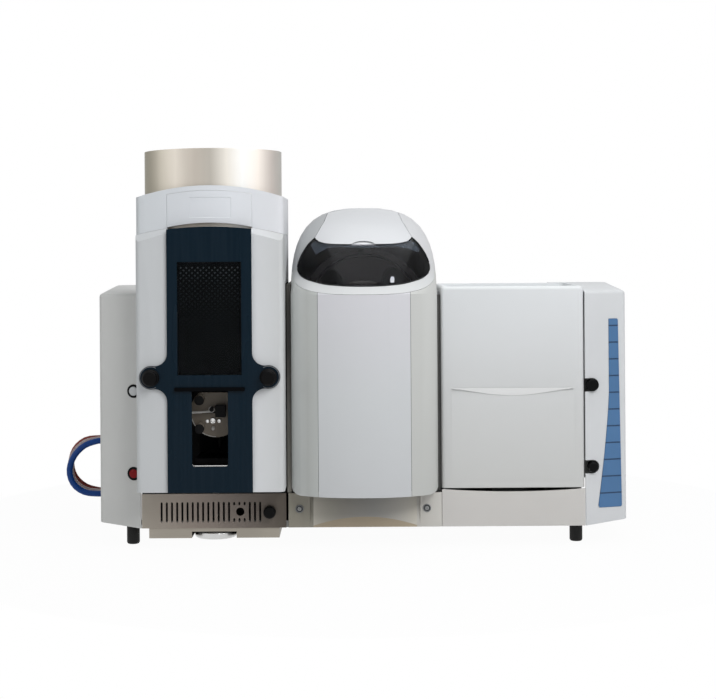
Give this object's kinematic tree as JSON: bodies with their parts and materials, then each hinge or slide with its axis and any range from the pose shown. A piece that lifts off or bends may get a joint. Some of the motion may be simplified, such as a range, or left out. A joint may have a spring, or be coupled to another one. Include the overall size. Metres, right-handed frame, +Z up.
{
  "type": "atomic absorption spectrometer",
  "caption": "Bench atomic absorption spectrometer with a flame bay and chimney behind a lift-up smoked sash, a domed lamp tower with a hinged visor, and a furnace bay under a hinged cover",
  "frame": {"origin": "centre of the footprint of the object without its hoses, on the bench plane under the feet", "axes": "+X to the operator's right, +Y to the back, +Z up; the front with the controls faces -Y"},
  "size_m": [1.1092, 0.6263, 0.716],
  "materials": {
    "housing": "light cool grey, fine satin",
    "chassis_paint": "grey powder coat",
    "foot_rubber": "black, matt",
    "black_plastic": "black, satin",
    "dark_metal": "blackened, matt",
    "silver": "machined",
    "stainless": "brushed",
    "champagne_steel": "warm brushed",
    "navy_gloss": "dark navy, glossy",
    "smoked_pane": "smoked, clear",
    "blue_trim": "satin blue",
    "pale_cap": "pale grey, glossy",
    "red_cap": "dark red, glossy",
    "lamp_black": "black, satin",
    "blue_hose": "blue, satin",
    "clear_hose": "clear, soft",
    "red_hose": "red-brown, satin"
  },
  "bodies": {
    "chassis": {"base_tray": "chassis_paint", "foot_front_left": "foot_rubber", "foot_front_right": "foot_rubber", "foot_rear_left": "foot_rubber", "foot_rear_right": "foot_rubber", "rear_housing": "housing", "mains_inlet": "black_plastic", "fan_grille": "black_plastic", "monochromator": "dark_metal", "power_supply": "silver", "left_end_cover": "housing", "right_end_cover": "housing", "power_button_bezel": "black_plastic", "stop_button_bezel": "black_plastic", "side_stripe": "blue_trim", "hose_port_plate": "black_plastic", "hose_blue": "blue_hose", "hose_clear": "clear_hose", "hose_red": "red_hose", "flame_box": "chassis_paint", "chimney": "champagne_steel", "flame_front_frame": "housing", "chimney_crown": "housing", "crown_fascia": "housing", "vent_plate": "stainless", "under_pan": "stainless", "tower_hood": "housing", "tower_cheek_left": "housing", "tower_cheek_right": "housing", "tower_front_panel": "housing", "lamp_bay": "dark_metal", "kick_panel": "housing", "furnace_box": "chassis_paint", "furnace_lower_panel": "housing", "furnace_stand": "silver", "graphite_furnace": "silver"},
    "sash": {"flame_sash": "navy_gloss", "sash_window": "smoked_pane", "sash_screen": "dark_metal"},
    "left_latch": {"left_latch_knob": "black_plastic"},
    "right_latch": {"right_latch_knob": "black_plastic"},
    "power_key": {"power_button": "pale_cap"},
    "stop_key": {"stop_button": "red_cap"},
    "burner": {"burner_carriage": "silver", "spray_chamber": "black_plastic", "chamber_end_plate": "black_plastic", "nebuliser": "pale_cap", "burner_head": "stainless"},
    "height_wheel": {"burner_height_wheel": "silver"},
    "turn_knob": {"burner_turn_knob": "black_plastic"},
    "lamp_lid": {"lamp_visor": "smoked_pane", "lamp_lid_cap": "housing"},
    "carousel": {"lamp_carousel": "dark_metal", "hollow_cathode_lamp_1": "lamp_black", "hollow_cathode_lamp_2": "lamp_black", "hollow_cathode_lamp_3": "lamp_black", "hollow_cathode_lamp_4": "lamp_black"},
    "furnace_hood": {"furnace_cover": "housing"},
    "upper_adjuster": {"upper_adjuster_knob": "black_plastic"},
    "lower_adjuster": {"lower_adjuster_knob": "black_plastic"}
  },
  "joints": [
    {"name": "sash_lift", "type": "slide", "parent": "chassis", "child": "sash", "axis": [0, 0, 1], "range_m": [0, 0.15]},
    {"name": "left_latch_turn", "type": "hinge", "parent": "sash", "child": "left_latch", "pos_m": [-0.371, -0.3, 0.313], "axis": [0, 1, 0], "range_deg": [0, 90]},
    {"name": "right_latch_turn", "type": "hinge", "parent": "sash", "child": "right_latch", "pos_m": [-0.165, -0.3, 0.313], "axis": [0, 1, 0], "range_deg": [-90, 0]},
    {"name": "power_press", "type": "slide", "parent": "chassis", "child": "power_key", "axis": [0.2747, 0.9615, 0], "range_m": [0, 0.003], "stiffness_N_per_m": 400, "springref_m": -0.001},
    {"name": "stop_press", "type": "slide", "parent": "chassis", "child": "stop_key", "axis": [0.2747, 0.9615, 0], "range_m": [0, 0.003], "stiffness_N_per_m": 400, "springref_m": -0.001},
    {"name": "height_wheel_turn", "type": "hinge", "parent": "chassis", "child": "height_wheel", "pos_m": [-0.268, -0.188, 0.02], "axis": [0, 0, 1], "range_deg": [-900, 900]},
    {"name": "burner_lift", "type": "slide", "parent": "chassis", "child": "burner", "axis": [0, 0, 1], "range_m": [-0.0101, 0.0101]},
    {"name": "turn_knob_turn", "type": "hinge", "parent": "chassis", "child": "turn_knob", "pos_m": [-0.168, -0.235, 0.066], "axis": [0, 1, 0], "range_deg": [-150, 150]},
    {"name": "lamp_lid_swing", "type": "hinge", "parent": "chassis", "child": "lamp_lid", "pos_m": [0.003, -0.018, 0.6108], "axis": [-1, 0, 0], "range_deg": [0, 75]},
    {"name": "carousel_turn", "type": "hinge", "parent": "chassis", "child": "carousel", "pos_m": [0.003, -0.1, 0.425], "axis": [0, 1, 0], "continuous": true},
    {"name": "furnace_hood_swing", "type": "hinge", "parent": "chassis", "child": "furnace_hood", "pos_m": [0.269, -0.04, 0.4525], "axis": [-1, 0, 0], "range_deg": [0, 80]},
    {"name": "upper_adjuster_turn", "type": "hinge", "parent": "chassis", "child": "upper_adjuster", "pos_m": [0.4125, -0.22, 0.289], "axis": [0, 1, 0], "range_deg": [-180, 180]},
    {"name": "lower_adjuster_turn", "type": "hinge", "parent": "chassis", "child": "lower_adjuster", "pos_m": [0.4125, -0.22, 0.142], "axis": [0, 1, 0], "range_deg": [-180, 180]}
  ],
  "couplings": [
    {"joint": "burner_lift", "follows": "height_wheel_turn", "m_per_rad": 0.00063662}
  ]
}
